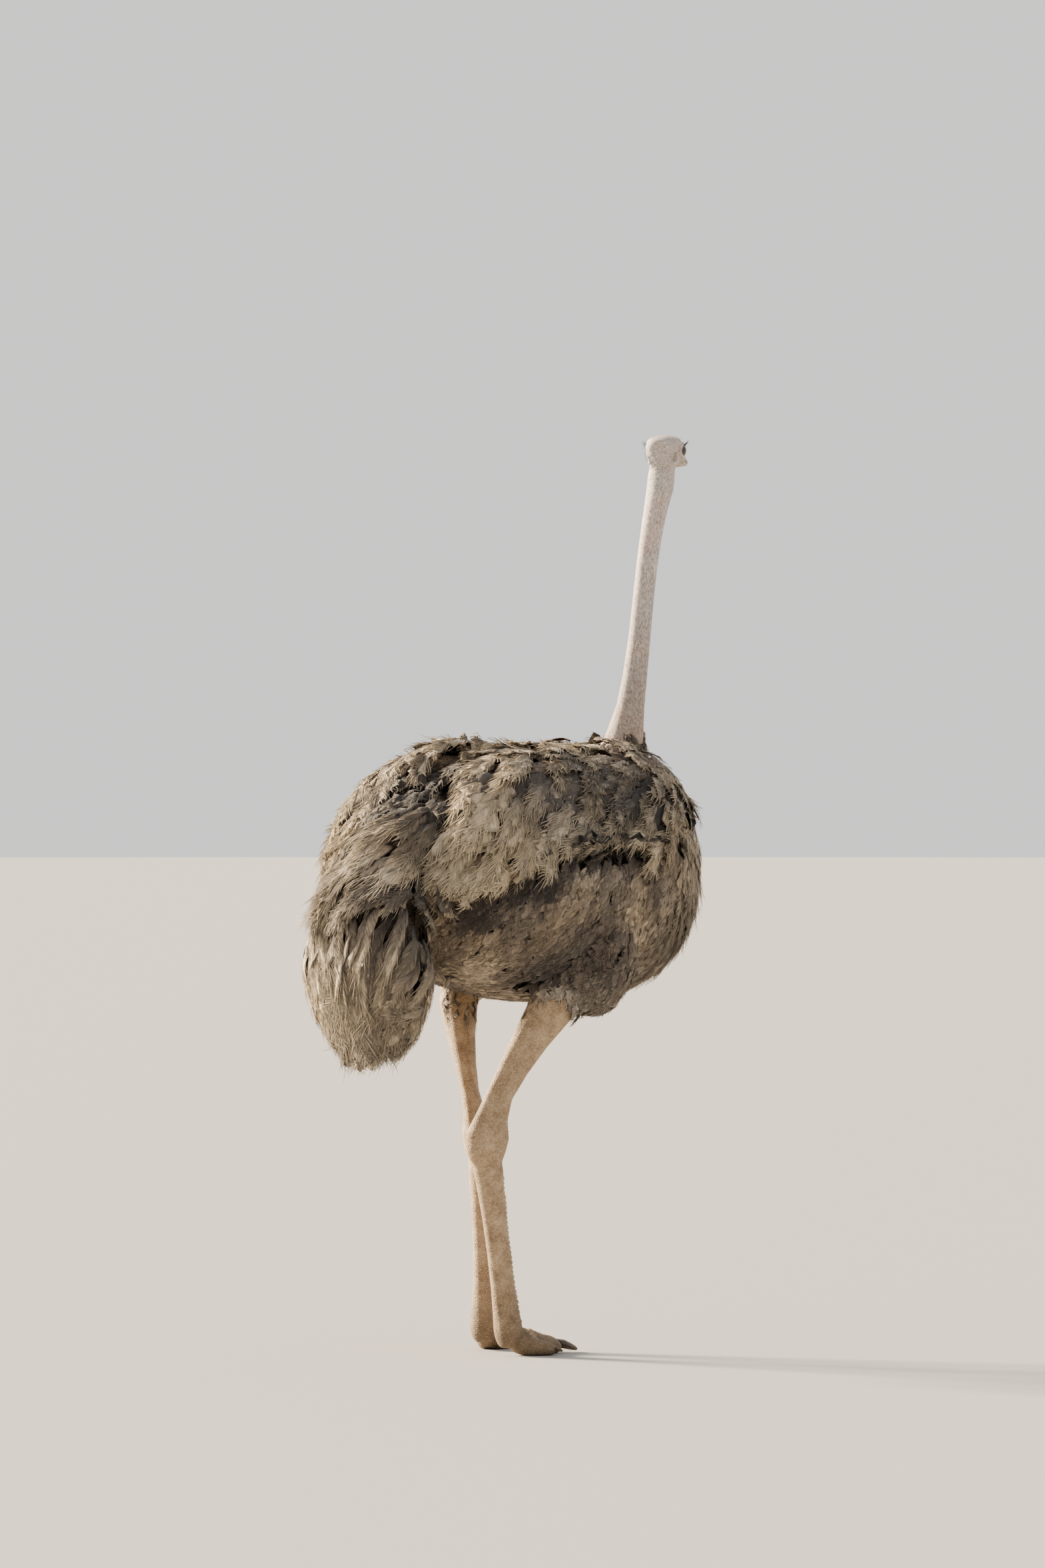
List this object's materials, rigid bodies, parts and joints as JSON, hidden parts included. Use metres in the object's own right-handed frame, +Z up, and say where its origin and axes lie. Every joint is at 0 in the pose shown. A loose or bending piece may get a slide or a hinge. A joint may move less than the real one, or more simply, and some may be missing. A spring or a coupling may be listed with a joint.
{
  "type": "ostrich",
  "caption": "Life-size standing ostrich hen with a tall thin neck, shaggy body plumage, a drooping plume tail and bare two-toed legs.",
  "frame": {"origin": "on the floor, under the middle of the whole bird's bounding box", "axes": "+Z up, -Y the way the body faces, +X the bird's left side"},
  "size_m": [0.622, 1.1594, 2.0099],
  "materials": {
    "plumage": "soft matt grey-brown feathers with paler edges",
    "tail_plumes": "soft matt grey-brown and cream plumes",
    "downy_skin": "pinkish grey skin under short pale down",
    "bare_skin": "bare pinkish grey skin",
    "scaly_skin": "scaly grey-brown skin",
    "horn": "satin grey-brown horn",
    "eye": "wet dark brown"
  },
  "bodies": {
    "root": {"trunk": "plumage", "wing_right": "plumage", "wing_left": "plumage", "thigh_right": "plumage", "thigh_left": "plumage", "tail": "tail_plumes", "head": "downy_skin", "neck_lower": "downy_skin", "neck_middle": "downy_skin", "neck_upper": "downy_skin", "shank_right": "bare_skin", "shank_left": "bare_skin", "tarsus_right": "scaly_skin", "tarsus_left": "scaly_skin", "toe_big_right": "scaly_skin", "toe_big_left": "scaly_skin", "toe_small_right": "scaly_skin", "toe_small_left": "scaly_skin", "bill_upper": "horn", "bill_lower": "horn", "claw_big_right": "horn", "claw_big_left": "horn", "claw_small_right": "horn", "claw_small_left": "horn", "eye_left": "eye", "eye_right": "eye"}
  },
  "joints": []
}
